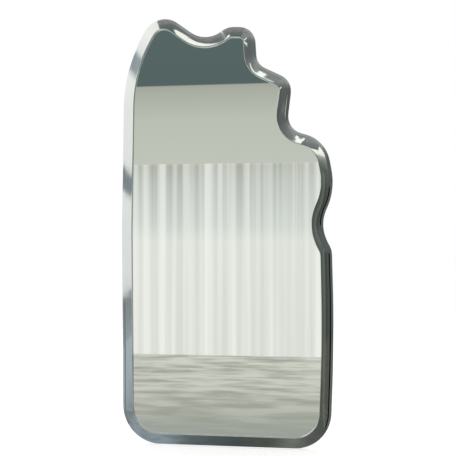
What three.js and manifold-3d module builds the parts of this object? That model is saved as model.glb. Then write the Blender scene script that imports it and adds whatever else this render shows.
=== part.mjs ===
// Irregular full-length wall mirror: a pane of silvered glass in a moulding of polished stainless sheet.
// Millimetres, +Z up, +X to the right seen from the front. The glass faces -Y and the wall is the plane y = 0.
// The origin is on the wall, midway between the pins of the two hanger rings.
//
// Flat outlines are drawn in (x, height above the lowest edge). Sections through the moulding are drawn in
// (inset from the outline, distance out from the wall). Both run clockwise, so the inside is on the right.

import * as THREE from 'three';
import { mergeVertices } from 'three/addons/utils/BufferGeometryUtils.js';
import Module from 'manifold-3d';

const wasm = await Module();
wasm.setup();

// ---------------------------------------------------------------- driving dimensions

// Overall height. The outline and the tape are drawn below and keep their proportions at any height.
const mirrorHeight = 1800;
const drawnHeight = 1800; // height of the outline as it is drawn here

// Outline of the moulding, clockwise from the lower left: [x, height, corner radius].
const drawnCorners = {
  lowerLeft: [-441, 0, 162],
  leftBow: [-448, 906, 3500], // slight bow of the long side
  leftSweep: [-437, 1600, 640], // from the long side into the tall lobe
  tallLobe: [-291, 1843, 95],
  dip: [-83, 1691, 107], // between the lobes
  secondLobeLeft: [4, 1757, 73],
  secondLobeRight: [122, 1752, 70],
  notch: [131, 1596, 60], // under the second lobe
  step: [279, 1524, 72],
  upperWaist: [254, 1318, 74], // under the step
  bulgeTop: [415, 1283, 140],
  bulgeSide: [455, 1068, 264],
  lowerWaist: [393, 933, 145], // under the bulge
  waistFlare: [424, 853, 79],
  rightShoulder: [441, 826, 72], // top of the straight side
  rightBow: [450, 482, 6500], // slight bow of the straight side
  lowerRight: [433, 0, 153],
};

// Moulding: one rolled and welded sheet, hollow inside.
const sheet = 1.5;
const frameWidth = 50; // from the outline to the inner edge
const frameDepth = 37; // from the back rim to the crest, before the crest is rounded off
const bandWidth = 12; // band between the side wall and the broad face, seen from the front
const bandRise = 12; // how far the band comes forward
const faceRise = 14; // how much further the broad face comes forward up to the crest
const faceCrown = 1.2; // swell of the broad face over a straight line
const faceCrownRadius = 270;
const crestRadius = 1.5;
const creaseRadius = 5; // bend between band and face
const bandBend = 8; // bend between side wall and band
const sheetBend = 2; // the two folds at the back and at the glass
const rimFlange = 14; // back rim folded inwards
const seatFlange = 16; // lip folded out again behind the inner edge, which holds the glass

// Glass and what lies behind it.
const reveal = 10; // crest to the front of the glass
const glassThickness = 5;
const glassCover = 13; // how far the glass reaches in behind the lip
const cushionThickness = 1;
const cushionWidth = 10;
const cushionSetback = 2; // from the inner edge
const tapeThickness = 1.6;
const tapeWidth = 25;
const boardThickness = 9;
const boardClearance = 3; // between the back rim and the board
const seatGap = 0.3; // between pieces that bear on each other

// Rubber discs that keep the rim off the wall.
const bumperThickness = 3;
const bumperDiameter = 12;

// Bent clips that hold the board in the frame.
const clipSheet = 1.5;
const clipWidth = 18;
const clipBend = 2.5;
const clipTongue = 9; // part that reaches in front of the back rim
const clipFoot = 24; // part that lies on the board
const clipScrewSetback = 13; // screw from the step of the clip

// Pan head screws.
const shankDiameter = 4;
const screwBite = 7; // length of shank in the board
const screwTip = 2;
const panDiameter = 8;
const panHeight = 2.4;
const holeClearance = 0.4; // around a shank in a plate
const pilotClearance = 0.3; // around a shank in the board
const pilotSpare = 0.6; // beyond the tip of a shank
const cutterReach = 1; // how far a cutter starts outside the face it opens

// Hangers: a strap plate whose upper end is rolled round the pin side of a D-shaped ring.
const hangerCentre = -30; // midway between the hangers, near the centre of mass
const hangerSetback = 54; // right-hand hanger inwards from the upper waist
const hangerRise = 112; // pins above the upper waist
const strapThickness = 2;
const strapWidth = 16;
const strapLength = 70; // pin to the end of the strap
const ringWire = 5;
const ringWidth = 26; // between the centrelines of the legs
const ringReach = 25; // pin to the bow, along the centreline
const ringCorner = 4.5; // bend between pin and leg
const pinClearance = 0.4; // around the pin in the rolled end
const rollAngle = THREE.MathUtils.degToRad(300); // how far the strap wraps round the pin
const trimMargin = 2; // cut away all round when a strap is trimmed
const hangerScrewFirst = 36; // pin to the nearest screw
const hangerScrewPitch = 12;
const hangerScrews = 3;

// Facets: how far a flat may lie from the true curve.
const outlineFlat = 0.4;
const sectionFlat = 0.6;
const wireSides = 10;
const rollSteps = 10;
const screwSides = 12;
const bumperSides = 24;

// Places on the outline: [corner that the side starts at, share of the side's length].
const clipPlaces = [
  ['lowerLeft', 0.28],
  ['lowerLeft', 0.8],
  ['leftBow', 0.45],
  ['tallLobe', 0.5],
  ['secondLobeLeft', 0.5],
  ['notch', 0.5],
  ['step', 0.5],
  ['bulgeTop', 0.5],
  ['rightShoulder', 0.5],
  ['rightBow', 0.4],
  ['lowerRight', 0.25],
  ['lowerRight', 0.75],
];
const bumperPlaces = [
  ['lowerLeft', 0.2],
  ['leftBow', 0.6],
  ['step', 0.42],
  ['rightBow', 0.66],
];

// Strips of foam tape between glass and board: [x, lower end, upper end], up from the glass's lowest edge.
const drawnTape = [
  [-290, 145, 625],
  [-20, 145, 625],
  [250, 145, 625],
  [-290, 725, 1205],
  [-20, 725, 1205],
  [250, 725, 1145],
  [-290, 1295, 1605],
  [20, 1295, 1565],
];

// ---------------------------------------------------------------- sizes that follow

const toHeight = (values) => values.map((value) => (value * mirrorHeight) / drawnHeight);
const outlineCorners = Object.fromEntries(
  Object.entries(drawnCorners).map(([name, values]) => [name, toHeight(values)]),
);

const rimBack = bumperThickness;
const crest = rimBack + frameDepth;
const glassFront = crest - reveal;
const glassBack = glassFront - glassThickness;
const seatBack = glassFront + cushionThickness + 2 * seatGap;
const boardFront = glassBack - tapeThickness - 2 * seatGap;
const boardBack = boardFront - boardThickness;
const boardInset = rimFlange + boardClearance;
const glassInset = frameWidth - glassCover;
const shankRadius = shankDiameter / 2;
const wireRadius = ringWire / 2;
const knuckleBore = wireRadius + pinClearance;
const knuckleRadius = knuckleBore + strapThickness;
const pinOut = boardBack - seatGap - knuckleRadius;
const [waistX, waistHeight] = outlineCorners.upperWaist;
const hangerHeight = waistHeight + hangerRise;
const hangerOffset = waistX - hangerSetback - hangerCentre; // each hanger from the middle of the two

// ---------------------------------------------------------------- paths with rounded corners

// Points along a path of corners [a, b, radius], moved sideways to its right by inset. Each bend keeps its
// centre, so a bend to the right gets tighter and a bend to the left wider.
function roundedPath(corners, { closed = false, inset = 0, flat = outlineFlat } = {}) {
  const points = corners.map(([a, b]) => new THREE.Vector2(a, b));
  const count = points.length;
  const wrap = (i) => (i + count) % count;
  const directions = points.map((p, i) => points[wrap(i + 1)].clone().sub(p).normalize());
  const right = (d) => new THREE.Vector2(d.y, -d.x);
  const lengthOf = (i) => points[wrap(i + 1)].distanceTo(points[i]);
  const turns = points.map((_, i) => {
    const before = directions[wrap(i - 1)];
    return Math.atan2(before.cross(directions[i]), before.dot(directions[i]));
  });
  const reach = corners.map(([, , radius = 0], i) => radius * Math.tan(Math.abs(turns[i]) / 2));
  const isEnd = (i) => !closed && (i === 0 || i === count - 1);
  const radii = corners.map(([, , radius = 0], i) => {
    if (isEnd(i)) return 0;
    const room = (side) => {
      const needed = (isEnd(side) ? 0 : reach[side]) + (isEnd(wrap(side + 1)) ? 0 : reach[wrap(side + 1)]);
      return needed > 0 ? lengthOf(side) / needed : 1;
    };
    return radius * Math.min(1, room(i), room(wrap(i - 1)));
  });

  return corners.flatMap((_, i) => {
    if (isEnd(i)) {
      const along = i === 0 ? directions[0] : directions[count - 2];
      return [points[i].clone().addScaledVector(right(along), inset)];
    }
    const normal = right(directions[wrap(i - 1)]);
    const inward = normal.clone().add(right(directions[i])).normalize();
    const bend = turns[i] < 0 ? 1 : -1;
    const lean = Math.cos(turns[i] / 2);
    const corner = points[i].clone().addScaledVector(inward, inset / lean);
    const radius = radii[i] - bend * inset;
    if (radii[i] === 0 || radius <= 0) {
      const steps = radii[i] === 0 ? 0 : bendSteps(radii[i], turns[i], flat);
      return Array.from({ length: steps + 1 }, () => corner.clone());
    }
    const centre = corner.clone().addScaledVector(inward, (bend * radius) / lean);
    const steps = bendSteps(radii[i], turns[i], flat);
    return Array.from({ length: steps + 1 }, (_, k) => {
      const towards = normal.clone().rotateAround(new THREE.Vector2(), (turns[i] * k) / steps);
      return centre.clone().addScaledVector(towards, -bend * radius);
    });
  });
}

function bendSteps(radius, turn, flat) {
  const step = 2 * Math.acos(Math.max(0, 1 - flat / radius));
  return Math.max(1, Math.ceil(Math.abs(turn) / step));
}

const outline = (inset) => roundedPath(Object.values(outlineCorners), { closed: true, inset });

// A place on the side that starts at a named corner, with the directions along it and into the mirror.
function placeOnSide([corner, share]) {
  const names = Object.keys(outlineCorners);
  const next = names[(names.indexOf(corner) + 1) % names.length];
  const [ax, az] = outlineCorners[corner];
  const [bx, bz] = outlineCorners[next];
  const at = new THREE.Vector2(ax, az).lerp(new THREE.Vector2(bx, bz), share);
  const along = new THREE.Vector2(bx - ax, bz - az).normalize();
  return { at, along, inward: new THREE.Vector2(along.y, -along.x) };
}

// ---------------------------------------------------------------- solids

// A closed ring: loops of points, each joined to the next and the last to the first.
function ringGeometry(loops) {
  const width = loops[0].length;
  const positions = loops.flat().flatMap((p) => [p.x, p.y, p.z]);
  const index = [];
  loops.forEach((_, i) => {
    const here = i * width;
    const next = ((i + 1) % loops.length) * width;
    for (let j = 0; j < width; j++) {
      const up = (j + 1) % width;
      index.push(here + j, here + up, next + j, here + up, next + up, next + j);
    }
  });
  const geometry = new THREE.BufferGeometry();
  geometry.setAttribute('position', new THREE.Float32BufferAttribute(positions, 3));
  geometry.setIndex(index);
  return geometry;
}

// A section [inset, out from the wall] taken all round the outline.
function sweepRoundOutline(section) {
  const rings = section.map((p) => outline(p.x));
  const loops = rings[0].map((_, k) =>
    section.map((p, j) => new THREE.Vector3(rings[j][k].x, -p.y, rings[j][k].y)),
  );
  return ringGeometry(loops);
}

// A flat outline with its back at a distance from the wall, and its thickness forwards from there.
function plateGeometry(points, back, thickness) {
  const shape = new THREE.Shape(points);
  const geometry = new THREE.ExtrudeGeometry(shape, { depth: thickness, bevelEnabled: false, steps: 1 });
  geometry.rotateX(Math.PI / 2);
  geometry.translate(0, -back, 0);
  return geometry;
}

// A sheet of even thickness folded along a path, with the given width across.
function foldedSheet(corners, thickness, width, flat = sectionFlat) {
  const face = roundedPath(corners, { flat });
  const back = roundedPath(corners, { flat, inset: thickness }).reverse();
  const shape = new THREE.Shape([...face, ...back]);
  const geometry = new THREE.ExtrudeGeometry(shape, { depth: width, bevelEnabled: false, steps: 1 });
  geometry.translate(0, 0, -width / 2);
  return geometry;
}

function toSolid(geometry) {
  const bare = geometry.clone();
  bare.deleteAttribute('normal');
  bare.deleteAttribute('uv');
  const merged = mergeVertices(bare, 1e-3);
  return new wasm.Manifold(
    new wasm.Mesh({
      numProp: 3,
      vertProperties: merged.attributes.position.array,
      triVerts: new Uint32Array(merged.index.array),
    }),
  );
}

function toGeometry(solid) {
  const { vertProperties, triVerts } = solid.getMesh();
  const geometry = new THREE.BufferGeometry();
  geometry.setAttribute('position', new THREE.Float32BufferAttribute(vertProperties, 3));
  geometry.setIndex(new THREE.Uint32BufferAttribute(triVerts, 1));
  return geometry;
}

function cutFrom(geometry, cutters) {
  return toGeometry(cutters.reduce((solid, cutter) => solid.subtract(toSolid(cutter)), toSolid(geometry)));
}

function keepWithin(geometry, limits) {
  return toGeometry(toSolid(geometry).intersect(toSolid(limits)));
}

// A round bar along Y, from one distance out from the wall to another.
function barThroughBoard(radius, outFrom, outTo, sides = screwSides) {
  const geometry = new THREE.CylinderGeometry(radius, radius, outTo - outFrom, sides);
  geometry.translate(0, -(outFrom + outTo) / 2, 0);
  return geometry;
}

// ---------------------------------------------------------------- materials

const finish = (color, roughness, metalness) => new THREE.MeshStandardMaterial({ color, roughness, metalness });
const polishedSteel = finish(0xc9cdcf, 0.08, 1);
const silvering = finish(0xdfe4e2, 0.02, 1);
const boardFibre = finish(0x8a6a48, 0.85, 0);
const zincPlate = finish(0xb9bbb8, 0.35, 1);
const blackRubber = finish(0x1d1d1e, 0.8, 0);
const whiteFoam = finish(0xe6e4dc, 0.9, 0);

// ---------------------------------------------------------------- assembly

const mirror = new THREE.Group();
const assembly = new THREE.Group();
assembly.position.set(-hangerCentre, 0, -hangerHeight);
mirror.add(assembly);

function addPiece(name, geometry, material) {
  const mesh = new THREE.Mesh(geometry, material);
  mesh.name = name;
  assembly.add(mesh);
  return mesh;
}

// Moulding: back rim, side wall, band, crowned face, crest, inner wall and the lip over the glass.
function mouldingSection() {
  const bandTop = crest - faceRise;
  const bandFoot = bandTop - bandRise;
  const faceMiddle = (bandWidth + frameWidth) / 2;
  const corners = [
    [rimFlange, rimBack],
    [0, rimBack, sheetBend],
    [0, bandFoot, bandBend],
    [bandWidth, bandTop, creaseRadius],
    [faceMiddle, bandTop + faceRise / 2 + faceCrown, faceCrownRadius],
    [frameWidth, crest, crestRadius],
    [frameWidth, seatBack, sheetBend],
    [frameWidth - seatFlange, seatBack],
  ];
  const skin = roundedPath(corners, { flat: sectionFlat });
  const sharp = corners.map(([inset, out]) => [inset, out, 0]);
  const inside = roundedPath(sharp, { inset: sheet }).reverse();
  return [...skin, ...inside];
}
addPiece('frame_moulding', sweepRoundOutline(mouldingSection()), polishedSteel);

// Glass, with the soft strip between it and the lip.
addPiece('mirror_glass', plateGeometry(outline(glassInset), glassBack, glassThickness), silvering);

const cushionInner = frameWidth - cushionSetback;
const cushionOuter = cushionInner - cushionWidth;
const cushionBack = glassFront + seatGap;
const cushionSection = [
  new THREE.Vector2(cushionOuter, cushionBack),
  new THREE.Vector2(cushionOuter, cushionBack + cushionThickness),
  new THREE.Vector2(cushionInner, cushionBack + cushionThickness),
  new THREE.Vector2(cushionInner, cushionBack),
];
addPiece('glass_cushion_strip', sweepRoundOutline(cushionSection), blackRubber);

drawnTape.map(toHeight).forEach(([x, low, high], i) => {
  const strip = new THREE.BoxGeometry(tapeWidth, tapeThickness, high - low);
  strip.translate(x, -(boardFront + seatGap + tapeThickness / 2), glassInset + (low + high) / 2);
  addPiece(`mounting_tape_${i + 1}`, strip, whiteFoam);
});

// Screw with a domed head. Its seat is the plane y = 0 and its shank runs towards -Y.
function panScrew(plate) {
  const length = plate + screwBite;
  const profile = [
    [0, -length],
    [shankRadius, -length + screwTip],
    [shankRadius, 0],
    [panDiameter / 2, 0],
    [panDiameter / 2, panHeight * 0.4],
    [panDiameter * 0.36, panHeight * 0.85],
    [0, panHeight],
  ].map(([radius, up]) => new THREE.Vector2(radius, up));
  return new THREE.LatheGeometry(profile, screwSides);
}

// Distance out from the wall of the seat under a screw head on a plate of this thickness on the board.
const headSeat = (plate) => boardBack - 2 * seatGap - plate;
const pilotHoles = [];

function driveScrew(name, x, height, plate) {
  const screw = addPiece(name, panScrew(plate + 2 * seatGap), zincPlate);
  screw.position.set(x, -headSeat(plate), height);
  const pilot = barThroughBoard(
    shankRadius + pilotClearance,
    boardBack - cutterReach,
    boardBack + screwBite + pilotSpare,
  );
  pilot.translate(x, 0, height);
  pilotHoles.push(pilot);
}

// Retaining clips: tongue in front of the back rim, step over the board's edge, foot on the board.
const tongueOut = rimBack + sheet + seatGap + clipSheet;
const footOut = boardBack - seatGap;
const clipStep = rimFlange + boardClearance / 2;

function retainingClip() {
  const corners = [
    [clipStep - clipTongue, tongueOut],
    [clipStep, tongueOut, clipBend - clipSheet],
    [clipStep, footOut, clipBend],
    [clipStep + clipFoot, footOut],
  ];
  const folded = foldedSheet(corners, clipSheet, clipWidth);
  const hole = new THREE.CylinderGeometry(
    shankRadius + holeClearance,
    shankRadius + holeClearance,
    clipSheet * 4,
    screwSides,
  );
  hole.translate(clipStep + clipScrewSetback, footOut - clipSheet / 2, 0);
  return cutFrom(folded, [hole]);
}

clipPlaces.forEach((place, i) => {
  const { at, along, inward } = placeOnSide(place);
  const clip = addPiece(`retaining_clip_${i + 1}`, retainingClip(), zincPlate);
  const axes = new THREE.Matrix4().makeBasis(
    new THREE.Vector3(inward.x, 0, inward.y),
    new THREE.Vector3(0, -1, 0),
    new THREE.Vector3(-along.x, 0, -along.y),
  );
  clip.quaternion.setFromRotationMatrix(axes);
  clip.position.set(at.x, 0, at.y);
  const screwAt = at.clone().addScaledVector(inward, clipStep + clipScrewSetback);
  driveScrew(`clip_screw_${i + 1}`, screwAt.x, screwAt.y, clipSheet);
});

// Hangers. The strap's section runs up from its lower end and rolls round the pin, which is the origin.
// It is drawn in (towards the wall, up), folded across the full width, and then trimmed to its front view.
function hangerStrap() {
  const turns = Array.from({ length: rollSteps + 1 }, (_, k) => Math.PI + (rollAngle * k) / rollSteps);
  const onRoll = (radius) => turns.map((a) => new THREE.Vector2(radius * Math.cos(a), -radius * Math.sin(a)));
  const lowerEnd = -strapLength - trimMargin;
  const tail = [new THREE.Vector2(-knuckleBore, lowerEnd), new THREE.Vector2(-knuckleRadius, lowerEnd)];
  const shape = new THREE.Shape([...onRoll(knuckleRadius), ...onRoll(knuckleBore).reverse(), ...tail]);
  const width = strapWidth + 2 * trimMargin;
  const strap = new THREE.ExtrudeGeometry(shape, { depth: width, bevelEnabled: false, steps: 1 });
  strap.translate(0, 0, -width / 2);
  const axes = new THREE.Matrix4().makeBasis(
    new THREE.Vector3(0, 1, 0),
    new THREE.Vector3(0, 0, 1),
    new THREE.Vector3(1, 0, 0),
  );
  strap.applyMatrix4(axes);
  const half = strapWidth / 2;
  const top = knuckleRadius + trimMargin;
  const frontView = roundedPath(
    [
      [-half, -strapLength, half],
      [-half, top],
      [half, top],
      [half, -strapLength, half],
    ],
    { closed: true, flat: sectionFlat / 2 },
  );
  const span = 2 * (knuckleRadius + trimMargin);
  return keepWithin(strap, plateGeometry(frontView, -span / 2, span));
}

// Ring: a round wire bent to a D, with its straight side as the pin.
function hangerRing() {
  const half = ringWidth / 2;
  const bowCentre = -(ringReach - half);
  const quarter = Math.PI / 2;
  const centreline = new THREE.CurvePath();
  const straight = (ax, az, bx, bz) =>
    centreline.add(new THREE.LineCurve(new THREE.Vector2(ax, az), new THREE.Vector2(bx, bz)));
  const bend = (x, z, radius, from, to) =>
    centreline.add(new THREE.EllipseCurve(x, z, radius, radius, from, to, true));
  straight(-half + ringCorner, 0, half - ringCorner, 0);
  bend(half - ringCorner, -ringCorner, ringCorner, quarter, 0);
  straight(half, -ringCorner, half, bowCentre);
  bend(0, bowCentre, half, 0, -2 * quarter);
  straight(-half, bowCentre, -half, -ringCorner);
  bend(-half + ringCorner, -ringCorner, ringCorner, 2 * quarter, quarter);
  const stations = [1, 3, 1, 10, 1, 3];
  const loops = centreline.curves.flatMap((curve, c) =>
    Array.from({ length: stations[c] }, (_, k) => {
      const share = k / stations[c];
      const at = curve.getPoint(share);
      const tangent = curve.getTangent(share);
      return Array.from({ length: wireSides }, (_, s) => {
        const angle = (2 * Math.PI * s) / wireSides;
        const sideways = wireRadius * Math.cos(angle);
        return new THREE.Vector3(
          at.x + tangent.y * sideways,
          wireRadius * Math.sin(angle),
          at.y - tangent.x * sideways,
        );
      });
    }),
  );
  return ringGeometry(loops);
}

[
  ['left', -1],
  ['right', 1],
].forEach(([hand, side]) => {
  const x = hangerCentre + side * hangerOffset;
  const heights = Array.from(
    { length: hangerScrews },
    (_, k) => hangerHeight - hangerScrewFirst - k * hangerScrewPitch,
  );
  const holes = heights.map((height) => {
    const hole = barThroughBoard(shankRadius + holeClearance, pinOut, boardBack + cutterReach);
    hole.translate(x, 0, height);
    return hole;
  });
  const strap = hangerStrap();
  strap.translate(x, -pinOut, hangerHeight);
  addPiece(`hanger_plate_${hand}`, cutFrom(strap, holes), zincPlate);
  const ring = addPiece(`hanger_ring_${hand}`, hangerRing(), zincPlate);
  ring.position.set(x, -pinOut, hangerHeight);
  heights.forEach((height, k) => driveScrew(`hanger_screw_${hand}_${k + 1}`, x, height, strapThickness));
});

// Board, drilled for every screw.
const board = plateGeometry(outline(boardInset), boardBack, boardThickness);
addPiece('backing_board', cutFrom(board, pilotHoles), boardFibre);

// Bumpers on the back rim.
bumperPlaces.forEach((place, i) => {
  const { at, inward } = placeOnSide(place);
  const centre = at.clone().addScaledVector(inward, rimFlange / 2);
  const disc = barThroughBoard(bumperDiameter / 2, 0, rimBack - seatGap, bumperSides);
  disc.translate(centre.x, 0, centre.y);
  addPiece(`wall_bumper_${i + 1}`, disc, blackRubber);
});

export default mirror;
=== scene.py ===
import math

import bmesh
import bpy
from mathutils import Matrix, Vector


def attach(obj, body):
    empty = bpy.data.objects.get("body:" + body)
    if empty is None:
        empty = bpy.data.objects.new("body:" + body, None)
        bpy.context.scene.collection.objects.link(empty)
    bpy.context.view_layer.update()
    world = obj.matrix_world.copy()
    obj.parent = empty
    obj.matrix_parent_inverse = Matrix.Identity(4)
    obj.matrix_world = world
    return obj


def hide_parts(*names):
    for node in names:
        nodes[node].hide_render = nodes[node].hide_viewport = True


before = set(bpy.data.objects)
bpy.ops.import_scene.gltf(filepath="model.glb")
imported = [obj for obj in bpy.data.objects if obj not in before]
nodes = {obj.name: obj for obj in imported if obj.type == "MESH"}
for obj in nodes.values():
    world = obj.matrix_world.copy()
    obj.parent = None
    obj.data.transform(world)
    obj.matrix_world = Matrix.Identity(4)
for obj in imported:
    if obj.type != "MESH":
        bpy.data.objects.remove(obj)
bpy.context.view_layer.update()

# ------------------------------------------------------------------ moulding
# The frame round the glass: one rolled and welded ring of stainless sheet, hollow behind, polished to a
# mirror finish. The band at its edge folds back to the wall, and its lip folds in behind the inner edge.

# The outline and the section are drawn from the lower edge and from the wall; the hangers set the origin.
HANGER_LINE = Vector((0.030, 0, -1.430))
MM = 0.001

OUTLINE = {  # mm: x, height above the lower edge, bend radius; clockwise
    "lower_left": (-441, 0, 162),
    "left_bow": (-448, 906, 3500),
    "left_sweep": (-437, 1600, 640),
    "tall_lobe": (-291, 1843, 95),
    "dip": (-83, 1691, 107),
    "second_lobe_left": (4, 1757, 73),
    "second_lobe_right": (122, 1752, 70),
    "notch": (131, 1596, 60),
    "step": (279, 1524, 72),
    "upper_waist": (254, 1318, 74),
    "bulge_top": (415, 1283, 140),
    "bulge_side": (455, 1068, 264),
    "lower_waist": (393, 933, 145),
    "waist_flare": (424, 853, 79),
    "right_shoulder": (441, 826, 72),
    "right_bow": (450, 482, 6500),
    "lower_right": (433, 0, 153),
}
SECTION = [  # mm: inset from the outline, out from the wall, bend radius
    (14, 3, 0),
    (0, 3, 2),
    (0, 14, 8),
    (12, 26, 18),
    (31, 34.2, 270),
    (50, 40, 1.5),
    (50, 31.6, 2),
    (34, 31.6, 0),
]
SHEET = 1.5


class Signal:
    """What a node gives out. Arithmetic on it adds Math nodes to the same tree."""

    def __init__(self, tree, socket):
        self.tree, self.socket = tree, socket

    def math(self, operation, *values):
        return self.tree.add("ShaderNodeMath", {"operation": operation}, dict(enumerate(values)))

    def also(self, output):
        return Signal(self.tree, self.socket.node.outputs[output])

    def __add__(self, other):
        return self.math("ADD", self, other)

    def __radd__(self, other):
        return self.math("ADD", other, self)

    def __sub__(self, other):
        return self.math("SUBTRACT", self, other)

    def __rsub__(self, other):
        return self.math("SUBTRACT", other, self)

    def __mul__(self, other):
        return self.math("MULTIPLY", self, other)

    def __rmul__(self, other):
        return self.math("MULTIPLY", other, self)


class Tree:
    """A node tree of any kind, built one node at a time."""

    def __init__(self, node_tree):
        self.nodes, self.links, self.node_tree = node_tree.nodes, node_tree.links, node_tree

    def add(self, kind, settings=None, values=None, out=0):
        node = self.nodes.new(kind)
        for key, value in (settings or {}).items():
            if key == "stops":
                ramp = node.color_ramp
                while len(ramp.elements) < len(value):
                    ramp.elements.new(0.5)
                for element, (place, colour) in zip(ramp.elements, value):
                    element.position, element.color = place, colour
            else:
                setattr(node, key, value)
        for key, value in (values or {}).items():
            if isinstance(value, Signal):
                self.links.new(value.socket, node.inputs[key])
            elif value is not None:
                node.inputs[key].default_value = value
        return Signal(self, node.outputs[out]) if len(node.outputs) else Signal(self, None)

    def mix(self, factor, a, b):
        colours = {0: factor, 6: a, 7: b}
        return self.add("ShaderNodeMix", {"data_type": "RGBA"}, colours, out=2)


class Shape(Tree):
    """A Geometry Nodes tree with named inputs, which runs on an object once and leaves a plain mesh."""

    def __init__(self, name, inputs):
        super().__init__(bpy.data.node_groups.new(name, "GeometryNodeTree"))
        self.inputs = {}
        face = self.node_tree.interface
        face.new_socket("Geometry", in_out="INPUT", socket_type="NodeSocketGeometry")
        for label, (kind, value) in inputs.items():
            socket = face.new_socket(label, in_out="INPUT", socket_type=f"NodeSocket{kind}")
            self.inputs[label] = (socket.identifier, value)
        face.new_socket("Geometry", in_out="OUTPUT", socket_type="NodeSocketGeometry")
        self.given = self.add("NodeGroupInput")

    def __getitem__(self, label):
        return self.given.also(label)

    def made_into(self, name, source, result, material, steps=()):
        """Runs the tree and then the modifiers in steps on the source object."""
        whole = self.add("GeometryNodeRealizeInstances", values={0: result})
        faced = self.add("GeometryNodeSetMaterial", values={0: whole, "Material": material})
        self.add("NodeGroupOutput", values={0: faced})
        modifier = source.modifiers.new("made", "NODES")
        modifier.node_group = self.node_tree
        for identifier, value in self.inputs.values():
            modifier[identifier] = value
        for kind, settings in steps:
            step = source.modifiers.new(kind.lower(), kind)
            for key, value in settings.items():
                setattr(step, key, value)
        return plain_mesh(name, source)


def placed(name, data):
    """A new object in the scene, at the origin."""
    piece = bpy.data.objects.new(name, data)
    bpy.context.collection.objects.link(piece)
    return piece


def plain_mesh(name, source):
    """The finished shape of an object with modifiers, as a new object without any."""
    seen = source.evaluated_get(bpy.context.evaluated_depsgraph_get())
    mesh = bpy.data.meshes.new_from_object(seen)
    mesh.name = name
    source.modifiers.clear()
    bpy.data.objects.remove(source)
    mesh.polygons.foreach_set("use_smooth", [True] * len(mesh.polygons))
    mesh.set_sharp_from_angle(angle=math.radians(38))
    return placed(name, mesh)


def drawn(name, points, closed):
    """A line of corners, each with its bend radius, for a tree to round off."""
    mesh = bpy.data.meshes.new(name)
    edges = [(i, i + 1) for i in range(len(points) - 1)]
    if closed:
        edges.append((len(points) - 1, 0))
    mesh.from_pydata([(x * MM, y * MM, 0) for x, y, _ in points], edges, [])
    bend = mesh.attributes.new("bend", "FLOAT", "POINT")
    bend.data.foreach_set("value", [radius * MM for _, _, radius in points])
    return placed(name, mesh)


def rounded(shape, line, count):
    """Corners of a drawn line, bent to the radius that each one carries."""
    curve = shape.add("GeometryNodeMeshToCurve", values={0: line})
    bend = shape.add("GeometryNodeInputNamedAttribute", {"data_type": "FLOAT"}, {"Name": "bend"})
    values = {"Curve": curve, "Count": count, "Limit Radius": True, "Radius": bend}
    return shape.add("GeometryNodeFilletCurve", {"mode": "POLY"}, values)


def from_object(shape, label):
    """The mesh of the object that an input of the tree names."""
    inside = {"transform_space": "ORIGINAL"}
    return shape.add("GeometryNodeObjectInfo", inside, {"Object": shape[label]}).also("Geometry")


def finish_of(name, **constants):
    """A material with its Principled shader's even values set, and a tree to add the rest."""
    material = bpy.data.materials.new(name)
    material.use_nodes = True
    tree = Tree(material.node_tree)
    shader = tree.nodes["Principled BSDF"]
    for socket, value in constants.items():
        shader.inputs[socket.replace("_", " ")].default_value = value
    return material, tree, shader


def feed(tree, shader, **signals):
    """Links what changes over the surface to the shader's sockets."""
    for socket, signal in signals.items():
        tree.links.new(signal.socket, shader.inputs[socket.replace("_", " ")])


def relief(tree, shader, strength, distance, height):
    """Fine bumps in the surface, as deep as the distance in metres."""
    values = {"Strength": strength, "Distance": distance, "Height": height}
    feed(tree, shader, Normal=tree.add("ShaderNodeBump", values=values))


def grain(tree, place, scale, detail=2.0, roughness=0.5, stretch=None):
    """Noise from 0 to 1 at a place, drawn out along the directions in stretch."""
    if stretch:
        place = tree.add("ShaderNodeMapping", values={"Vector": place, "Scale": stretch})
    values = {"Vector": place, "Scale": scale, "Detail": detail, "Roughness": roughness}
    return tree.add("ShaderNodeTexNoise", values=values)


def between(tree, signal, low, high):
    """How far a signal has come from low to high, kept within 0 and 1."""
    values = {0: signal, 1: low, 2: high, 3: 0.0, 4: 1.0}
    return tree.add("ShaderNodeMapRange", {"clamp": True}, values)


polished_steel, tree, shader = finish_of("polished_steel", Metallic=1.0)
place = tree.add("ShaderNodeTexCoord", out="Object")
cloud = grain(tree, place, 7, detail=3)
lines = grain(tree, place, 160, detail=2, stretch=(1, 1, 0.06))
smudge = between(tree, grain(tree, place, 18, detail=5), 0.56, 0.74)
feed(
    tree,
    shader,
    Base_Color=tree.mix(cloud, (0.70, 0.715, 0.72, 1), (0.80, 0.805, 0.80, 1)),
    Roughness=0.045 + 0.02 * cloud + 0.03 * lines + 0.05 * smudge,
)
ripple = grain(tree, place, 22, detail=1)
relief(tree, shader, 0.25, 0.0006, ripple + 0.02 * lines)

sizes = {
    "Section": ("Object", drawn("section", [(a, -b, bend) for a, b, bend in SECTION], closed=False)),
    "Bend Steps": ("Int", 26),
    "Section Steps": ("Int", 5),
    "Spacing": ("Float", 0.0042),
    "Easing": ("Int", 7),
}
shape = Shape("sheet rolled round the outline", sizes)
path = rounded(shape, shape["Geometry"], shape["Bend Steps"])
spread = {"Curve": path, "Length": shape["Spacing"]}
path = shape.add("GeometryNodeResampleCurve", {"mode": "LENGTH"}, spread)
here = shape.add("GeometryNodeInputPosition")
eased = {"Value": here, "Iterations": shape["Easing"]}
eased = shape.add("GeometryNodeBlurAttribute", {"data_type": "FLOAT_VECTOR"}, eased)
path = shape.add("GeometryNodeSetPosition", values={"Geometry": path, "Position": eased})
path = shape.add("GeometryNodeSetCurveNormal", {"mode": "Z_UP"}, {"Curve": path})
section = rounded(shape, from_object(shape, "Section"), shape["Section Steps"])
skin = shape.add("GeometryNodeCurveToMesh", values={"Curve": path, "Profile Curve": section})
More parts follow.
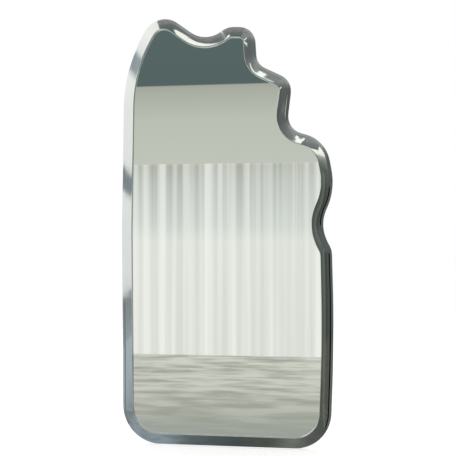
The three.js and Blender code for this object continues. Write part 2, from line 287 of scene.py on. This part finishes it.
upright = {"Geometry": skin, "Rotation": (math.pi / 2, 0, 0), "Translation": HANGER_LINE}
skin = shape.add("GeometryNodeTransform", values=upright)
wall = {"thickness": SHEET * MM, "offset": -1, "use_even_offset": True}
line = drawn("outline", list(OUTLINE.values()), closed=True)
moulding = shape.made_into("moulding", line, skin, polished_steel, [("SOLIDIFY", wall)])
bpy.data.objects.remove(bpy.data.objects["section"])
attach(moulding, "mirror")
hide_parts("frame_moulding")

# ------------------------------------------------------------------ glass
# The pane: clear float glass, silvered and painted behind, cut to the frame's outline and held behind its
# lip. A little green shows where light passes the glass twice, and the surface has the odd wiped mark.

PANE_BACK = -0.026  # y of the silvering and the paint over it


def coated(node, material):
    """Gives a piece of the solids' own its finish."""
    node.data.materials.clear()
    node.data.materials.append(material)


silvered_glass, tree, shader = finish_of("silvered_glass", Metallic=1.0, Coat_Roughness=0.01, Coat_IOR=1.5)
place = tree.add("ShaderNodeTexCoord", out="Object")
depth = tree.add("ShaderNodeSeparateXYZ", values={0: place}).also("Y")
backing = between(tree, depth, PANE_BACK - 0.0002, PANE_BACK + 0.0002)
tint = tree.mix(grain(tree, place, 2.5), (0.825, 0.842, 0.828, 1), (0.85, 0.862, 0.848, 1))
wiped = between(tree, grain(tree, place, 5, detail=6, stretch=(1, 1, 0.35)), 0.6, 0.8)
feed(
    tree,
    shader,
    Base_Color=tree.mix(backing, tint, (0.16, 0.17, 0.18, 1)),
    Metallic=1 - backing,
    Roughness=0.004 + 0.012 * wiped + 0.5 * backing,
    Coat_Weight=0.2 * (1 - backing),
)
relief(tree, shader, 0.05, 0.0004, grain(tree, place, 3, detail=0))
coated(nodes["mirror_glass"], silvered_glass)

# ------------------------------------------------------------------ cushion strip and mounting tape
# A black foam rubber strip lies between the frame's lip and the glass, and white foam tape behind the
# glass sticks it to the board. Both are soft, matt and full of fine cells.


def foam(name, shaded_pit, light):
    """A foam's finish: the hollow middle of each cell darker with painted shade, the walls between lighter.
    """
    material, tree, shader = finish_of(name)
    place = tree.add("ShaderNodeTexCoord", out="Object")
    cells = tree.add("ShaderNodeTexVoronoi", values={"Vector": place, "Scale": 900})
    # painted shade: the colour darkens towards each cell's middle, where the relief below sinks a pit
    tone = between(tree, cells, 0.0, 0.7)
    feed(tree, shader, Base_Color=tree.mix(tone, shaded_pit, light), Roughness=0.82 + 0.12 * tone)
    relief(tree, shader, 0.6, 0.0003, tone)
    return material


cushion_rubber = foam("cushion_rubber", (0.018, 0.018, 0.02, 1), (0.04, 0.04, 0.043, 1))
foam_tape = foam("foam_tape", (0.60, 0.59, 0.54, 1), (0.78, 0.77, 0.72, 1))
coated(nodes["glass_cushion_strip"], cushion_rubber)
for name, node in nodes.items():
    if name.startswith("mounting_tape"):
        coated(node, foam_tape)

# ------------------------------------------------------------------ backing board
# 9 mm fibreboard, sawn to the outline, that fills the back of the frame and carries the glass. Its face
# is sanded and shows pressed fibres, and the sawn edge has the same finish.

board_fibre, tree, shader = finish_of("board_fibre")
place = tree.add("ShaderNodeTexCoord", out="Object")
fibres = grain(tree, place, 420, detail=4, roughness=0.7, stretch=(1, 1, 0.35))
flecks = between(tree, grain(tree, place, 950, detail=2), 0.62, 0.74)
patches = grain(tree, place, 4, detail=3)
board_tone = tree.mix(fibres, (0.36, 0.235, 0.13, 1), (0.56, 0.41, 0.265, 1))
board_tone = tree.mix(flecks * 0.45, board_tone, (0.17, 0.10, 0.055, 1))
board_tone = tree.mix(patches * 0.3, board_tone, (0.50, 0.36, 0.23, 1))
feed(tree, shader, Base_Color=board_tone, Roughness=0.68 + 0.2 * fibres)
relief(tree, shader, 0.35, 0.0004, fibres)
coated(nodes["backing_board"], board_fibre)

# ------------------------------------------------------------------ retaining clips
# Twelve clips of zinc-plated strip, each sheared, pierced and folded twice. The tongue reaches in front of
# the moulding's back rim, the step passes the board's edge, and the foot is screwed down on the board.


QUARTER = math.pi / 2
FOLD_STEP = math.radians(9)  # the most that one facet of a bend turns
SCREW_HOLE = 2.4  # mm, radius


def blank(length, width, ends, holes):
    """A flat strip as it leaves the press: its length along x, with round corners and screw holes."""

    def arc(x, y, radius, start, turn, steps):
        angles = [start + turn * k / steps for k in range(steps + 1)]
        return [(x + radius * math.cos(a), y + radius * math.sin(a)) for a in angles]

    half = width / 2
    loops = [[]]
    for corner, radius in enumerate((ends[0], ends[1], ends[1], ends[0])):
        x = length - radius if corner in (1, 2) else radius
        y = half - radius if corner > 1 else radius - half
        loops[0] += arc(x, y, radius, (corner + 2) * QUARTER, QUARTER, 8)
    loops += [arc(x, 0, SCREW_HOLE, 0, -4 * QUARTER, 24)[:-1] for x in holes]
    flat = bmesh.new()
    for loop in loops:
        corners = [flat.verts.new((x, y, 0)) for x, y in loop]
        for first, second in zip(corners, corners[1:] + corners[:1]):
            flat.edges.new((first, second))
    bmesh.ops.remove_doubles(flat, verts=flat.verts, dist=0.001)
    bmesh.ops.triangle_fill(flat, use_beauty=True, edges=flat.edges)
    return flat


def folded(name, flat, start, bends, thickness, material, edge):
    """Bends a flat strip along straights (length, 0) and bends (middle radius, turn)."""
    lengths = [size * abs(turn) if turn else size for size, turn in bends]
    for i, (length, (_, turn)) in enumerate(zip(lengths, bends)):
        steps = max(1, math.ceil(abs(turn) / FOLD_STEP))
        for k in range(1, steps + 1) if turn else range(1):
            parts = flat.verts[:] + flat.edges[:] + flat.faces[:]
            cut_at = (sum(lengths[:i]) + length * k / steps, 0, 0)
            bmesh.ops.bisect_plane(flat, geom=parts, plane_co=cut_at, plane_no=(1, 0, 0), dist=0.0001)
    for vertex in flat.verts:
        x, out, heading, left = *start, vertex.co.x
        for length, (size, turn) in zip(lengths, bends):
            run = min(left, length)
            if turn:
                bent = math.copysign(run / size, turn)
                radius = math.copysign(size, turn)
                x += radius * (math.sin(heading + bent) - math.sin(heading))
                out += radius * (math.cos(heading) - math.cos(heading + bent))
                heading += bent
            else:
                x += run * math.cos(heading)
                out += run * math.sin(heading)
            left -= run
        vertex.co = (x * MM, -out * MM, vertex.co.y * MM)
    mesh = bpy.data.meshes.new(name)
    flat.normal_update()
    flat.to_mesh(mesh)
    flat.free()
    mesh.materials.append(material)
    metal = placed(name, mesh)
    wall = metal.modifiers.new("wall", "SOLIDIFY")
    wall.thickness, wall.offset, wall.use_even_offset = thickness * MM, 0, True
    dull = metal.modifiers.new("edge", "BEVEL")
    dull.width, dull.segments, dull.angle_limit = edge * MM, 2, math.radians(50)
    return plain_mesh(name, metal)


def on_side(corner, share):
    """A place on the side of the outline that starts at a corner, and the way into the mirror there."""
    names = list(OUTLINE)
    after = names[(names.index(corner) + 1) % len(names)]
    here, there = (Vector((OUTLINE[name][0], 0, OUTLINE[name][1])) * MM for name in (corner, after))
    run = (there - here).normalized()
    return here.lerp(there, share) + HANGER_LINE, Vector((run.z, 0, -run.x))


def repeated(name, piece, places, material):
    """One piece set at every place, each (where it goes, the way its x axis points)."""
    mesh = bpy.data.meshes.new(name)
    mesh.from_pydata([where for where, _ in places], [], [])
    turns = mesh.attributes.new("turn", "FLOAT_VECTOR", "POINT")
    angles = [(0, -math.atan2(way.z, way.x), 0) for _, way in places]
    turns.data.foreach_set("vector", [angle for turn in angles for angle in turn])
    spots = placed(name, mesh)
    shape = Shape(name, {"Piece": ("Object", piece)})
    turn = shape.add("GeometryNodeInputNamedAttribute", {"data_type": "FLOAT_VECTOR"}, {"Name": "turn"})
    values = {"Points": shape["Geometry"], "Instance": from_object(shape, "Piece"), "Rotation": turn}
    group = shape.made_into(name, spots, shape.add("GeometryNodeInstanceOnPoints", values=values), material)
    bpy.data.objects.remove(piece)
    return group


zinc_plate, tree, shader = finish_of("zinc_plate", Metallic=1.0)
place = tree.add("ShaderNodeTexCoord", out="Object")
bloom = grain(tree, place, 60, detail=4)
spangle = grain(tree, place, 700, detail=2)
zinc_tone = tree.mix(bloom, (0.52, 0.54, 0.57, 1), (0.66, 0.665, 0.66, 1))
feed(
    tree,
    shader,
    Base_Color=tree.mix(0.35 * spangle, zinc_tone, (0.42, 0.44, 0.47, 1)),
    Roughness=0.26 + 0.14 * bloom + 0.08 * spangle,
)
relief(tree, shader, 0.2, 0.0002, spangle)

CLIP_PLACES = [  # the side after this corner, and how far along it
    ("lower_left", 0.28),
    ("lower_left", 0.8),
    ("left_bow", 0.45),
    ("tall_lobe", 0.5),
    ("second_lobe_left", 0.5),
    ("notch", 0.5),
    ("step", 0.5),
    ("bulge_top", 0.5),
    ("right_shoulder", 0.5),
    ("right_bow", 0.4),
    ("lower_right", 0.25),
    ("lower_right", 0.75),
]
TONGUE, STEP, FOOT, CLIP_BEND = 8.0, 3.7, 21.5, 1.75  # mm: the straights, and the bends' middle radius
CLIP_WIDTH, CLIP_SHEET, CLIP_EDGE = 18, 1.5, 0.25
CLIP_START = (6.5, 5.55, 0)  # the tongue's end: in from the outline, out from the wall, heading
HOLE_FROM_END = 11
clip_bends = [(TONGUE, 0), (CLIP_BEND, QUARTER), (STEP, 0), (CLIP_BEND, -QUARTER), (FOOT, 0)]
clip_length = TONGUE + STEP + FOOT + 2 * CLIP_BEND * QUARTER
clip_blank = blank(clip_length, CLIP_WIDTH, ends=(2, 4), holes=[clip_length - HOLE_FROM_END])
one_clip = folded("one_clip", clip_blank, CLIP_START, clip_bends, CLIP_SHEET, zinc_plate, CLIP_EDGE)
clip_spots = [on_side(*place) for place in CLIP_PLACES]
clips = repeated("clips", one_clip, clip_spots, zinc_plate)
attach(clips, "mirror")
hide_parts(*(f"retaining_clip_{i}" for i in range(1, 13)))

# ------------------------------------------------------------------ screws
# Pan head screws of zinc-plated steel with a cross recess, driven through the clips and the hanger straps
# into the board. The hanger screws bite on a thicker plate, so they are a little longer.


def turned(name, profile, sides):
    """A solid of revolution about the y axis, from a profile of (radius, out from the seat)."""
    solid = bmesh.new()
    rings = []
    for radius, out in profile:
        steps = sides if radius else 1
        angles = [2 * math.pi * k / steps for k in range(steps)]
        at = [(radius * math.cos(a) * MM, out * MM, radius * math.sin(a) * MM) for a in angles]
        rings.append([solid.verts.new(point) for point in at])
    for low, high in zip(rings, rings[1:]):
        for k in range(sides):
            after = (k + 1) % sides
            corners = [low[k % len(low)], low[after % len(low)]]
            corners += [high[after % len(high)], high[k % len(high)]]
            solid.faces.new(list(dict.fromkeys(corners)))
    bmesh.ops.recalc_face_normals(solid, faces=solid.faces)
    mesh = bpy.data.meshes.new(name)
    solid.to_mesh(mesh)
    solid.free()
    return placed(name, mesh)


def pan_screw(name, length):
    """Seat at y = 0 and shank towards the front. The recess is two crossed, tapered slots."""
    tip = [(0, -length), (0.35, -length + 0.1), (1.9, -length + 2), (2, -length + 2.3), (2, 0)]
    rim = [(3.85, 0), (4, 0.15), (4, 0.9), (3.85, 1.3)]
    crown = [(3.5, 1.7), (2.9, 2.05), (2.0, 2.3), (1.0, 2.4), (0, 2.4)]
    screw = turned(name, tip + rim + crown, 40)
    slots = bmesh.new()
    for turn in (0, QUARTER):
        block = bmesh.ops.create_cube(slots, size=1)["verts"]
        for corner in block:
            deep = corner.co.y < 0
            corner.co.x *= 1.9 if deep else 4.9
            corner.co.z *= 0.7 if deep else 1.15
            corner.co.y = 0.75 if deep else 2.7
        bmesh.ops.rotate(slots, verts=block, matrix=Matrix.Rotation(turn, 3, "Y"))
        bmesh.ops.scale(slots, verts=block, vec=(MM, MM, MM))
    mesh = bpy.data.meshes.new("slots")
    slots.to_mesh(mesh)
    slots.free()
    cutter = placed("slots", mesh)
    cut = screw.modifiers.new("recess", "BOOLEAN")
    cut.object, cut.operation, cut.use_self = cutter, "DIFFERENCE", True
    screw = plain_mesh(name, screw)
    bpy.data.objects.remove(cutter)
    return screw


SCREW_SETBACK = 0.0285  # in from the outline
CLIP_SEAT, STRAP_SEAT = -0.0117, -0.0112  # y under the screw heads
HANGER_X = 0.230  # each hanger from the middle of the two
FIRST_SCREW, SCREW_PITCH = 0.036, 0.012  # below the ring's pin, and from one to the next
HANDS = {"left": -1, "right": 1}

seats = [(spot + way * SCREW_SETBACK + Vector((0, CLIP_SEAT, 0)), way) for spot, way in clip_spots]
clip_screws = repeated("clip_screws", pan_screw("one_screw", 9.1), seats, zinc_plate)
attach(clip_screws, "mirror")
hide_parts(*(f"clip_screw_{i}" for i in range(1, 13)))

seats = []
for side in HANDS.values():
    for k in range(3):
        seat = Vector((side * HANGER_X, STRAP_SEAT, -FIRST_SCREW - SCREW_PITCH * k))
        seats.append((seat, Vector((math.cos(k + side), 0, math.sin(k + side)))))
hanger_screws = repeated("hanger_screws", pan_screw("one_screw", 9.6), seats, zinc_plate)
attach(hanger_screws, "mirror")
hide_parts(*(f"hanger_screw_{hand}_{k}" for hand in HANDS for k in (1, 2, 3)))

# ------------------------------------------------------------------ hangers
# Two strap hangers, which the mirror hangs from. Each strap's upper end is rolled round the pin side of a
# welded D-ring, which swings in it, and three screws hold the strap on the board.

PIN_OUT = -0.0086  # y of the rings' pins
STRAP_LENGTH, STRAP_WIDTH, STRAP_SHEET, STRAP_EDGE = 70, 16, 2, 0.3
STRAP_HOLES = (10, 22, 34)  # from the lower end
ROLL_RADIUS, ROLL = 3.9, math.radians(300)

for hand, side in HANDS.items():
    strap_blank = blank(STRAP_LENGTH + ROLL_RADIUS * ROLL, STRAP_WIDTH, ends=(8, 1), holes=STRAP_HOLES)
    start = (-STRAP_LENGTH, ROLL_RADIUS, 0)
    bends = [(STRAP_LENGTH, 0), (ROLL_RADIUS, -ROLL)]
    strap = folded(f"hanger_strap_{hand}", strap_blank, start, bends, STRAP_SHEET, zinc_plate, STRAP_EDGE)
    upright = ((0, 0, 1, side * HANGER_X), (0, 1, 0, PIN_OUT), (1, 0, 0, 0), (0, 0, 0, 1))
    strap.data.transform(Matrix(upright))
    strap.data.flip_normals()
    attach(strap, "mirror")
    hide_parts(f"hanger_plate_{hand}")

RING = [(-13, 0, 4.5), (13, 0, 4.5), (13, -25, 13), (-13, -25, 13)]  # mm: across, up, bend radius
for hand, side in HANDS.items():
    sizes = {"Wire Radius": ("Float", 0.0025), "Wire Sides": ("Int", 28), "Bend Steps": ("Int", 14)}
    shape = Shape(f"wire bent to a D, {hand}", sizes)
    path = rounded(shape, shape["Geometry"], shape["Bend Steps"])
    round_wire = {"Resolution": shape["Wire Sides"], "Radius": shape["Wire Radius"]}
    wire = shape.add("GeometryNodeCurvePrimitiveCircle", {"mode": "RADIUS"}, round_wire)
    ring = shape.add("GeometryNodeCurveToMesh", values={"Curve": path, "Profile Curve": wire})
    pin = (side * HANGER_X, PIN_OUT, 0)
    upright = {"Geometry": ring, "Rotation": (QUARTER, 0, 0), "Translation": pin}
    ring = shape.add("GeometryNodeTransform", values=upright)
    ring = shape.made_into(f"hanger_d_ring_{hand}", drawn("d_ring", RING, closed=True), ring, zinc_plate)
    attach(ring, f"{hand}_ring")
    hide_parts(f"hanger_ring_{hand}")

# ------------------------------------------------------------------ wall bumpers
# Four moulded rubber discs with rounded edges, stuck on the back rim to keep it off the wall.

bumper_rubber, tree, shader = finish_of("bumper_rubber", Roughness=0.7)
place = tree.add("ShaderNodeTexCoord", out="Object")
pores = grain(tree, place, 1500, detail=2)
dust = between(tree, grain(tree, place, 90, detail=4), 0.5, 0.75)
feed(
    tree,
    shader,
    Base_Color=tree.mix(0.5 * dust, (0.020, 0.020, 0.021, 1), (0.075, 0.073, 0.07, 1)),
    Roughness=0.6 + 0.2 * pores,
)
relief(tree, shader, 0.3, 0.0001, pores)

BUMPER_PLACES = [("lower_left", 0.2), ("left_bow", 0.6), ("step", 0.42), ("right_bow", 0.66)]
BUMPER_INSET = 0.007  # in from the outline
stuck_face = [(0, -2.7), (5.7, -2.7), (5.92, -2.6), (6, -2.4)]
free_face = [(6, -0.8), (5.85, -0.35), (5.45, -0.08), (4.9, 0), (0, 0)]
one_bumper = turned("one_bumper", stuck_face + free_face, 40)
spots = [on_side(*place) for place in BUMPER_PLACES]
spots = [(spot + way * BUMPER_INSET, way) for spot, way in spots]
bumpers = repeated("bumpers", one_bumper, spots, bumper_rubber)
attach(bumpers, "mirror")
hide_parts(*(f"wall_bumper_{i}" for i in range(1, 5)))

# ------------------------------------------------------------------ stage
# A pale floor under the mirror, two soft lamps, and a plain studio round it: flat cards with bands of
# tone, which only reflections meet. Polished metal and glass show their shape by them.


def shade(red, green, blue, showing=0.82):
    """The card colour that a mirror reflecting this share of it shows as the colour given."""
    return [*((value / 255) ** 2.2 / showing for value in (red, green, blue)), 1]


def card(name, corners, along, bands, streaks=None, lights=None):
    """A flat card that only reflections meet, with bands of tone along one axis: (place, colour).

    A card that lights one piece adds its tone to what that piece reflects, and no other piece sees it.
    """
    mesh = bpy.data.meshes.new(name)
    mesh.from_pydata(corners, [], [range(len(corners))])
    material = bpy.data.materials.new(name)
    material.use_nodes = True
    tree = Tree(material.node_tree)
    tree.nodes.clear()
    place = tree.add("ShaderNodeTexCoord", out="Object")
    low, high = bands[0][0], bands[-1][0]
    share = between(tree, tree.add("ShaderNodeSeparateXYZ", values={0: place}).also(along), low, high)
    stops = [((at - low) / (high - low), shade(*colour)) for at, colour in bands]
    tone = tree.add("ShaderNodeValToRGB", {"stops": stops}, {0: share})
    if streaks:
        size, stretch, colour, most = streaks
        streak = between(tree, grain(tree, place, size, detail=3, stretch=stretch), 0.38, 0.66)
        tone = tree.mix(most * streak, tone, shade(*colour))
    glow = tree.add("ShaderNodeEmission", values={"Color": tone})
    if lights:
        glow = tree.add("ShaderNodeAddShader", values={0: glow, 1: tree.add("ShaderNodeBsdfTransparent")})
    tree.add("ShaderNodeOutputMaterial", values={"Surface": glow})
    mesh.materials.append(material)
    flat = placed(name, mesh)
    flat.visible_camera = flat.visible_diffuse = flat.visible_shadow = flat.visible_transmission = False
    if lights:
        lit = bpy.data.collections.new(f"lit_by_{name}")
        lit.objects.link(lights)
        flat.light_linking.receiver_collection = lit


def standing(name, x0, y0, x1, y1, low, high, bands, streaks=None):
    """An upright card from one corner to another, banded upwards."""
    corners = [(x0, y0, low), (x1, y1, low), (x1, y1, high), (x0, y0, high)]
    card(name, corners, "Z", bands, streaks)


FLOOR, ROOF = -1.4305, 2.6
GROUND = FLOOR + 0.002  # the lying cards clear the floor
LEFT, RIGHT, FRONT, BACK = -3.2, 3.6, -2.6, 1.5
FRONT_LEFT, FRONT_RIGHT, FRONT_STEP = -1.15, 1.1, 0.04  # the front card's sides, and where it changes

side_bands = [
    (GROUND, (140, 151, 155)),
    (-1.18, (121, 130, 132)),
    (-1.04, (110, 119, 121)),
    (-0.99, (220, 223, 219)),
    (-0.80, (229, 231, 227)),
    (-0.135, (233, 235, 231)),
    (-0.09, (106, 118, 123)),
    (0.065, (106, 118, 124)),
    (0.11, (234, 236, 232)),
    (1.33, (242, 244, 241)),
    (1.50, (134, 147, 151)),
    (1.86, (134, 147, 152)),
    (2.02, (236, 240, 237)),
    (ROOF, (248, 250, 246)),
]
side_streaks = (5, (1, 1, 0.02), (205, 208, 203), 0.3)
standing("left_side", LEFT, BACK, LEFT, FRONT, GROUND, ROOF, side_bands, side_streaks)
standing("front_left", LEFT, FRONT, FRONT_LEFT, FRONT, GROUND, ROOF, side_bands, side_streaks)
low_bands = [
    (GROUND, (212, 214, 207)),
    (-0.55, (214, 216, 209)),
    (-0.43, (198, 203, 198)),
    (-0.12, (181, 186, 180)),
    (0.02, (168, 171, 162)),
    (FRONT_STEP, (176, 179, 170)),
]
low_streaks = (16, (1, 1, 0.01), (244, 245, 242), 0.6)
standing("front_low", FRONT_LEFT, FRONT, FRONT_RIGHT, FRONT, GROUND, FRONT_STEP, low_bands, low_streaks)
high_bands = [
    (FRONT_STEP, (188, 191, 182)),
    (0.38, (183, 186, 176)),
    (0.60, (166, 169, 159)),
    (0.640, (160, 163, 154)),
    (0.650, (84, 98, 98)),
    (1.30, (86, 101, 101)),
    (ROOF, (120, 130, 134)),
]
standing("front_high", FRONT_LEFT, FRONT, FRONT_RIGHT, FRONT, FRONT_STEP, ROOF, high_bands)
dark_bands = [
    (GROUND, (62, 65, 61)),
    (-0.4, (66, 70, 67)),
    (0.2, (80, 86, 84)),
    (1.0, (84, 89, 89)),
    (1.5, (100, 106, 106)),
    (ROOF, (132, 138, 137)),
]
dark_streaks = (9, (1, 1, 0.03), (112, 116, 109), 0.5)
standing("front_right", FRONT_RIGHT, FRONT, RIGHT, FRONT, GROUND, ROOF, dark_bands, dark_streaks)
standing("right_side", RIGHT, FRONT, RIGHT, BACK, GROUND, ROOF, dark_bands, dark_streaks)


LAYER = 0.01  # from a card to the one laid over it
OVER_GROUND = GROUND + 0.001
FAN_START = 0.12  # from the side of the mirror
MIRROR_LEFT, MIRROR_RIGHT = -0.41, 0.45


def even(colour):
    """Bands that are one colour all the way up."""
    return [(GROUND, colour), (ROOF, colour)]


def fan(name, start, bearings, colour, top, side=None, lights=None):
    """A card of one tone between two bearings from a side of the mirror, along the ground and up a wall.

    The wall is the one at a side, or else the front one.
    """
    rays = [Vector((math.sin(math.radians(a)), -math.cos(math.radians(a)))) for a in bearings]
    near = [Vector((start, 0)) + FAN_START * ray for ray in rays]
    wall = FRONT + LAYER
    far = [(start + ray.x * wall / ray.y, wall) for ray in rays]
    if side is not None:
        far = [(side, ray.y * (side - start) / ray.x) for ray in rays]
    corners = [(x, y, OVER_GROUND) for x, y in (*near, *reversed(far))]
    card(f"{name}_low", corners, "Z", even(colour), lights=lights)
    corners = [(*far[0], GROUND), (*far[1], GROUND), (*far[1], top), (*far[0], top)]
    card(name, corners, "Z", even(colour), lights=lights)


fan("face_light", MIRROR_RIGHT, (34.5, 39.5), (60, 63, 58), 0.35, lights=moulding)
fan("shoulder_dark", MIRROR_RIGHT, (48, 82), (8, 9, 9), -0.32, RIGHT - LAYER)
fan("edge_light", MIRROR_RIGHT, (86, 97), (58, 62, 61), -0.1, RIGHT - LAYER, moulding)
fan("left_shoulder_dark", MIRROR_LEFT, (-61, -86), (104, 113, 117), -1.02, LEFT + LAYER)


def lying(name, corners, height, along, bands, streaks=None):
    """A level card, banded along x or y."""
    card(name, [(x, y, height) for x, y in corners], along, bands, streaks)


def oblong(x0, x1, y0, y1):
    return [(x0, y0), (x1, y0), (x1, y1), (x0, y1)]


ROOF_LEFT, NEAR_LEFT, NEAR_RIGHT, NEAR_FRONT = -1.35, -0.5, 0.5, -0.2


lying(
    "roof_left",
    oblong(LEFT, ROOF_LEFT, FRONT, BACK),
    ROOF,
    "X",
    [(LEFT, (244, 244, 240)), (ROOF_LEFT, (238, 239, 235))],
)
lying(
    "roof_middle",
    oblong(ROOF_LEFT, NEAR_RIGHT, FRONT, BACK),
    ROOF,
    "Y",
    [(FRONT, (84, 96, 98)), (-1.7, (104, 113, 116)), (-1.2, (140, 143, 140)), (BACK, (160, 162, 158))],
    (4, (1, 3, 1), (92, 90, 86), 0.7),
)
lying(
    "roof_right",
    oblong(NEAR_RIGHT, RIGHT, FRONT, BACK),
    ROOF,
    "Y",
    [(FRONT, (118, 124, 126)), (-1.6, (96, 101, 102)), (-1.0, (120, 124, 124)), (BACK, (150, 153, 150))],
    (4, (1, 3, 1), (196, 198, 192), 0.5),
)
lying(
    "ground_left",
    [(LEFT, FRONT), (FRONT_LEFT, FRONT), (NEAR_LEFT, NEAR_FRONT), (NEAR_LEFT, BACK), (LEFT, BACK)],
    GROUND,
    "X",
    [
        (LEFT, (168, 180, 185)),
        (-1.9, (160, 172, 176)),
        (-1.0, (138, 148, 151)),
        (NEAR_LEFT, (112, 120, 120)),
    ],
    (5, (1, 1, 1), (170, 182, 186), 0.4),
)
lying(
    "ground_middle",
    [(FRONT_LEFT, FRONT), (NEAR_RIGHT, FRONT), (NEAR_RIGHT, NEAR_FRONT), (NEAR_LEFT, NEAR_FRONT)],
    GROUND,
    "Y",
    [
        (FRONT, (204, 206, 196)),
        (-1.2, (196, 198, 188)),
        (-0.7, (178, 180, 171)),
        (NEAR_FRONT, (150, 156, 151)),
    ],
    (4, (1, 2.5, 1), (150, 152, 142), 0.8),
)
lying(
    "ground_near",
    oblong(NEAR_LEFT, NEAR_RIGHT, NEAR_FRONT, BACK),
    GROUND,
    "X",
    [
        (NEAR_LEFT, (146, 160, 166)),
        (-0.34, (146, 159, 164)),
        (-0.22, (136, 149, 155)),
        (-0.13, (96, 104, 105)),
        (0.05, (76, 83, 83)),
        (0.20, (80, 83, 78)),
        (0.31, (116, 119, 111)),
        (0.39, (92, 94, 89)),
        (NEAR_RIGHT, (86, 88, 84)),
    ],
    (40, (0.4, 1, 1), (64, 70, 72), 0.35),
)
lying(
    "ground_right",
    oblong(NEAR_RIGHT, RIGHT, FRONT, BACK),
    GROUND,
    "Y",
    [(FRONT, (76, 79, 74)), (BACK, (80, 83, 78))],
    (14, (1, 0.25, 1), (106, 109, 100), 0.5),
)

# Small cards close in front of the moulding, which it alone reflects, give its bends their bright ends.
STRIP_OUT = 0.3


def strip(name, corners, bands):
    card(name, [(x, -STRIP_OUT, z) for x, z in corners], "Z", bands, lights=moulding)


cream = (240, 239, 227)
tall_lobe_light = [(-0.135, 0.545), (-0.105, 0.51), (-0.085, 0.53)]
tall_lobe_light += [(-0.05, 0.635), (-0.11, 0.635), (-0.135, 0.605)]
strip("tall_lobe_light", tall_lobe_light, even(cream))
notch_light = [(0.222, 0.355), (0.235, 0.345), (0.285, 0.335), (0.30, 0.345), (0.245, 0.365)]
notch_light += [(0.265, 0.41), (0.29, 0.46), (0.285, 0.49), (0.25, 0.435), (0.228, 0.385)]
strip("notch_light", notch_light, even(cream))
bulge_light = [(0.35, 0.0), (0.375, 0.04), (0.40, 0.11), (0.425, 0.15)]
bulge_light += [(0.44, 0.20), (0.42, 0.20), (0.40, 0.155), (0.365, 0.09)]
strip("bulge_light", bulge_light, even(cream))
shoulder_light = [(0.42, -0.03), (0.50, -0.012), (0.61, -0.012), (0.65, 0.09), (0.73, 0.03)]
shoulder_light += [(0.77, -0.20), (0.58, -0.20), (0.57, -0.10), (0.50, -0.07), (0.43, -0.09)]
shoulder_bands = [
    (-0.20, (12, 12, 12)),
    (-0.155, (92, 93, 86)),
    (-0.10, (148, 148, 137)),
    (-0.07, (230, 229, 216)),
    (0.10, cream),
]
strip("shoulder_light", shoulder_light, shoulder_bands)


def lamp(name, place, aim):
    """A square soft lamp that reflections don't show."""
    data = bpy.data.lights.new(name, "AREA")
    data.shape, data.size, data.energy = "SQUARE", 2.5, 60
    light = placed(name, data)
    light.location = place
    light.rotation_euler = (Vector(aim) - Vector(place)).to_track_quat("-Z", "Y").to_euler()
    light.visible_glossy = False


def seen_in(tree):
    """Above 0 for the camera, reflections and glass, and 0 for the light that falls on things."""
    rays = tree.add("ShaderNodeLightPath")
    return rays + rays.also("Is Glossy Ray") + rays.also("Is Transmission Ray")


lamp("front_lamp", (1.5, -3.5, 2.2), (0, 0, -0.4))
lamp("back_lamp", (-1.0, 3.5, 2.0), (0, 0, -0.5))

FLOOR_HALF = 30
corners = oblong(-FLOOR_HALF, FLOOR_HALF, -FLOOR_HALF, FLOOR_HALF)
floor_mesh = bpy.data.meshes.new("floor")
floor_mesh.from_pydata([(x, y, FLOOR) for x, y in corners], [], [range(4)])
floor_paint, tree, shader = finish_of("floor_paint", Base_Color=(0.84, 0.84, 0.83, 1), Roughness=0.9)
lit = tree.add("ShaderNodeEmission", values={"Strength": 0.5 * seen_in(tree)})
both = tree.add("ShaderNodeAddShader", values={0: Signal(tree, shader.outputs[0]), 1: lit})
tree.links.new(both.socket, tree.nodes["Material Output"].inputs["Surface"])
floor_mesh.materials.append(floor_paint)
placed("floor", floor_mesh)

scene = bpy.context.scene
scene.view_settings.view_transform = "Standard"
world = bpy.data.worlds.new("studio")
world.use_nodes = True
scene.world = world
tree = Tree(world.node_tree)
seen = seen_in(tree)
sky = tree.nodes["Background"]
sky.inputs["Color"].default_value = (1, 1, 1, 1)
tree.links.new((0.55 + 0.45 * seen.math("MINIMUM", seen, 1.0)).socket, sky.inputs["Strength"])

# The camera stands level, to the right of the mirror's middle, and is turned a little to the left.
camera_data = bpy.data.cameras.new("camera")
camera_data.lens = 58.82
camera_data.sensor_width = 36
camera_data.shift_y = 0.0395
camera = placed("camera", camera_data)
camera.location = (0.4456, -3.1056, -0.5914)
camera.rotation_euler = (math.radians(90), 0, math.radians(7.49))
scene.camera = camera
